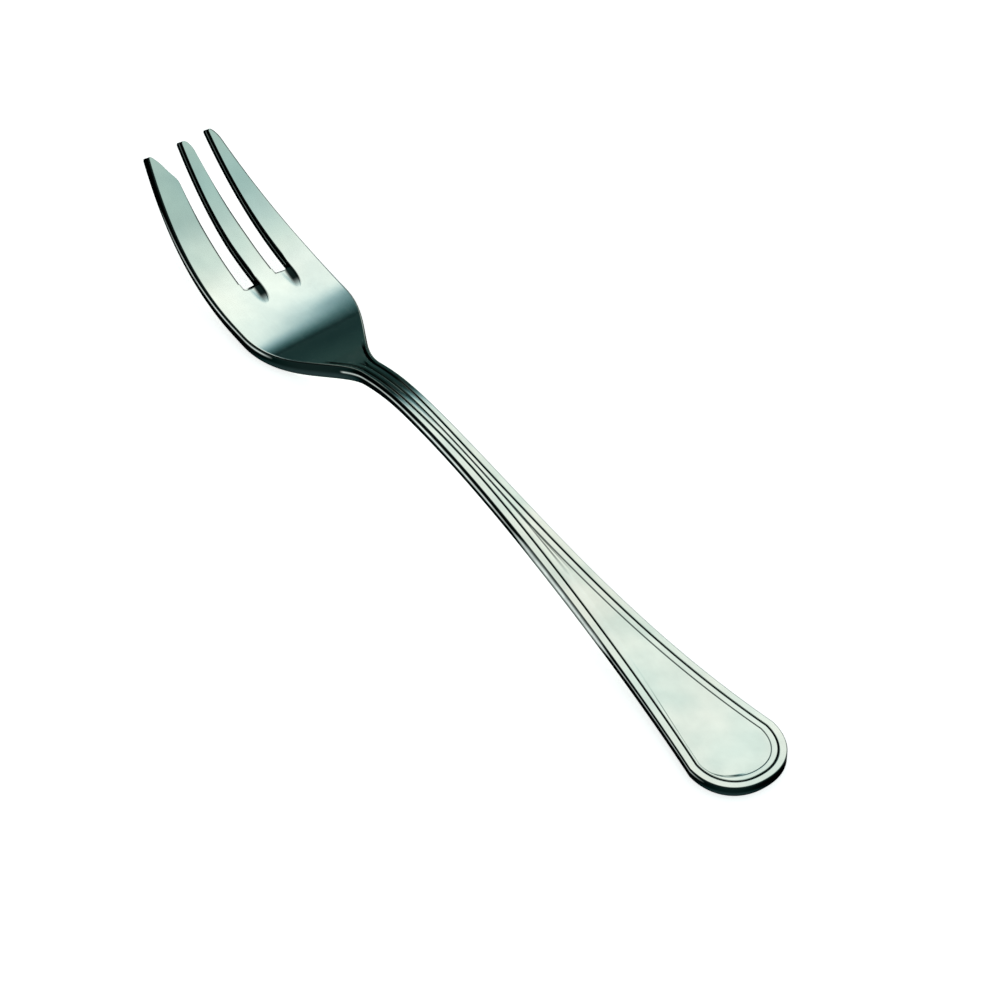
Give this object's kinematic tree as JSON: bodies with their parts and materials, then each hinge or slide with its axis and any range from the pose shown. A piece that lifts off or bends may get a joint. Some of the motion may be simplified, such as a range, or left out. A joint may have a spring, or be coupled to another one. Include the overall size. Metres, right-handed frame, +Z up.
{
  "type": "pastry fork",
  "caption": "Small pastry fork of satin steel with a wide cutting tine, upswept tines and a threaded border round a waisted handle that flares to a round end.",
  "frame": {"origin": "middle of the fork's box in X and Y, on the surface that it lies on", "axes": "+X along the fork from the tines to the end of the handle, +Y across it towards the slim side tine, +Z up out of the face of the fork"},
  "size_m": [0.15, 0.0194, 0.016],
  "materials": {
    "steel": "satin, with fine lengthwise polishing marks"
  },
  "bodies": {
    "root": {"cutting_tine": "steel", "middle_tine": "steel", "side_tine": "steel", "head": "steel", "neck": "steel", "handle": "steel"}
  },
  "joints": []
}
